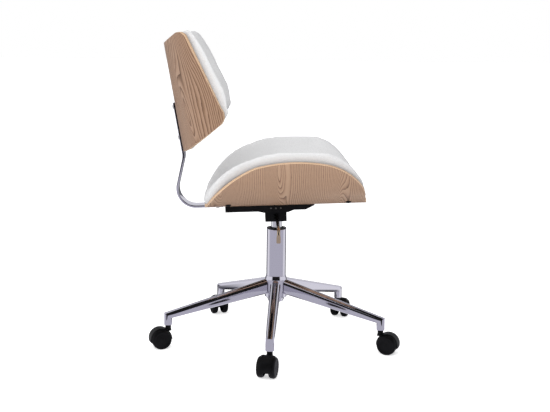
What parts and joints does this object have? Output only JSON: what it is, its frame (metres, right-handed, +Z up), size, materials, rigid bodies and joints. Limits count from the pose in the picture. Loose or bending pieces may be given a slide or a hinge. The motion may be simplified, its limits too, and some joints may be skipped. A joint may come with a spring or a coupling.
{
  "type": "office chair",
  "caption": "Armless swivel task chair with bent-plywood seat and back, padded, on a height-adjustable column and a chromed star base on castors.",
  "frame": {"origin": "floor level on the axis of the column", "axes": "+X to the front of the chair, +Y to the sitter's left, +Z up along the column"},
  "size_m": [0.632, 0.6178, 0.7854],
  "materials": {
    "chrome": "mirror-bright plate",
    "light_chrome": "bright cylinder",
    "black_steel": "satin black",
    "black_plastic": "fine grain",
    "wheel_plastic": "smooth tread",
    "zinc": "bright zinc",
    "plain_steel": "turned",
    "veneer": "satin lacquer",
    "board": "bare plywood",
    "white_leather": "smooth, soft sheen",
    "buffer_rubber": "moulded"
  },
  "bodies": {
    "base": {"base_hub": "chrome", "base_leg_1": "chrome", "base_leg_2": "chrome", "base_leg_3": "chrome", "base_leg_4": "chrome", "base_leg_5": "chrome", "stem_bushes": "black_plastic", "column_tube": "chrome", "column_guide": "black_plastic", "thrust_bearing": "plain_steel"},
    "rod": {"piston_rod": "plain_steel", "rod_washer": "plain_steel", "rod_buffer": "buffer_rubber", "rod_clip": "plain_steel"},
    "seat": {"gas_cylinder": "light_chrome", "mechanism_plate": "black_steel", "flange_rivets": "zinc", "taper_housing": "black_steel", "lever_pivot": "plain_steel", "plate_bolts": "zinc", "seat_shell": "veneer", "seat_board": "board", "seat_cushion": "white_leather", "seat_caps": "black_plastic", "seat_nuts": "zinc", "back_bar": "chrome", "bar_seat_bolts": "zinc", "bar_back_bolts": "zinc", "back_shell": "veneer", "back_board": "board", "back_cushion": "white_leather", "back_nuts": "zinc"},
    "lever": {"lever": "chrome"},
    "release_pin": {"release_pin": "plain_steel"},
    "castor_1": {"castor_1_stem": "plain_steel", "castor_1_hood": "black_plastic", "castor_1_axle": "plain_steel"},
    "castor_1_left": {"castor_1_wheel_left": "wheel_plastic"},
    "castor_1_right": {"castor_1_wheel_right": "wheel_plastic"},
    "castor_2": {"castor_2_stem": "plain_steel", "castor_2_hood": "black_plastic", "castor_2_axle": "plain_steel"},
    "castor_2_left": {"castor_2_wheel_left": "wheel_plastic"},
    "castor_2_right": {"castor_2_wheel_right": "wheel_plastic"},
    "castor_3": {"castor_3_stem": "plain_steel", "castor_3_hood": "black_plastic", "castor_3_axle": "plain_steel"},
    "castor_3_left": {"castor_3_wheel_left": "wheel_plastic"},
    "castor_3_right": {"castor_3_wheel_right": "wheel_plastic"},
    "castor_4": {"castor_4_stem": "plain_steel", "castor_4_hood": "black_plastic", "castor_4_axle": "plain_steel"},
    "castor_4_left": {"castor_4_wheel_left": "wheel_plastic"},
    "castor_4_right": {"castor_4_wheel_right": "wheel_plastic"},
    "castor_5": {"castor_5_stem": "plain_steel", "castor_5_hood": "black_plastic", "castor_5_axle": "plain_steel"},
    "castor_5_left": {"castor_5_wheel_left": "wheel_plastic"},
    "castor_5_right": {"castor_5_wheel_right": "wheel_plastic"}
  },
  "joints": [
    {"name": "seat_swivel", "type": "hinge", "parent": "base", "child": "rod", "pos_m": [0, 0, 0.11], "axis": [0, 0, 1], "continuous": true},
    {"name": "seat_height", "type": "slide", "parent": "rod", "child": "seat", "axis": [0, 0, 1], "range_m": [0, 0.1]},
    {"name": "lever_lift", "type": "hinge", "parent": "seat", "child": "lever", "pos_m": [-0.001, -0.022, 0.33], "axis": [-1, 0, 0], "range_deg": [0, 8]},
    {"name": "pin_press", "type": "slide", "parent": "seat", "child": "release_pin", "axis": [0, 0, -1], "range_m": [0, 0.003]},
    {"name": "castor_1_swivel", "type": "hinge", "parent": "base", "child": "castor_1", "pos_m": [-0.02002, -0.27928, 0.07], "axis": [0, 0, 1], "continuous": true},
    {"name": "castor_1_left_roll", "type": "hinge", "parent": "castor_1", "child": "castor_1_left", "pos_m": [-0.02553, -0.29851, 0.025], "axis": [0.9613, -0.2756, 0], "continuous": true},
    {"name": "castor_1_right_roll", "type": "hinge", "parent": "castor_1", "child": "castor_1_right", "pos_m": [-0.02553, -0.29851, 0.025], "axis": [0.9613, -0.2756, 0], "continuous": true},
    {"name": "castor_2_swivel", "type": "hinge", "parent": "base", "child": "castor_2", "pos_m": [0.25943, -0.10534, 0.07], "axis": [0, 0, 1], "continuous": true},
    {"name": "castor_2_left_roll", "type": "hinge", "parent": "castor_2", "child": "castor_2_left", "pos_m": [0.27804, -0.11267, 0.025], "axis": [0.3665, 0.9304, 0], "continuous": true},
    {"name": "castor_2_right_roll", "type": "hinge", "parent": "castor_2", "child": "castor_2_right", "pos_m": [0.27804, -0.11267, 0.025], "axis": [0.3665, 0.9304, 0], "continuous": true},
    {"name": "castor_3_swivel", "type": "hinge", "parent": "base", "child": "castor_3", "pos_m": [0.18035, 0.21418, 0.07], "axis": [0, 0, 1], "continuous": true},
    {"name": "castor_3_left_roll", "type": "hinge", "parent": "castor_3", "child": "castor_3_left", "pos_m": [0.18881, 0.2323, 0.025], "axis": [-0.9063, 0.4226, 0], "continuous": true},
    {"name": "castor_3_right_roll", "type": "hinge", "parent": "castor_3", "child": "castor_3_right", "pos_m": [0.18881, 0.2323, 0.025], "axis": [-0.9063, 0.4226, 0], "continuous": true},
    {"name": "castor_4_swivel", "type": "hinge", "parent": "base", "child": "castor_4", "pos_m": [-0.14796, 0.23771, 0.07], "axis": [0, 0, 1], "continuous": true},
    {"name": "castor_4_left_roll", "type": "hinge", "parent": "castor_4", "child": "castor_4_left", "pos_m": [-0.15381, 0.25684, 0.025], "axis": [-0.9563, -0.2924, 0], "continuous": true},
    {"name": "castor_4_right_roll", "type": "hinge", "parent": "castor_4", "child": "castor_4_right", "pos_m": [-0.15381, 0.25684, 0.025], "axis": [-0.9563, -0.2924, 0], "continuous": true},
    {"name": "castor_5_swivel", "type": "hinge", "parent": "base", "child": "castor_5", "pos_m": [-0.2718, -0.06726, 0.07], "axis": [0, 0, 1], "continuous": true},
    {"name": "castor_5_left_roll", "type": "hinge", "parent": "castor_5", "child": "castor_5_left", "pos_m": [-0.29077, -0.07361, 0.025], "axis": [0.3173, -0.9483, 0], "continuous": true},
    {"name": "castor_5_right_roll", "type": "hinge", "parent": "castor_5", "child": "castor_5_right", "pos_m": [-0.29077, -0.07361, 0.025], "axis": [0.3173, -0.9483, 0], "continuous": true}
  ],
  "couplings": [
    {"joint": "pin_press", "follows": "lever_lift", "m_per_rad": 0.0213}
  ]
}
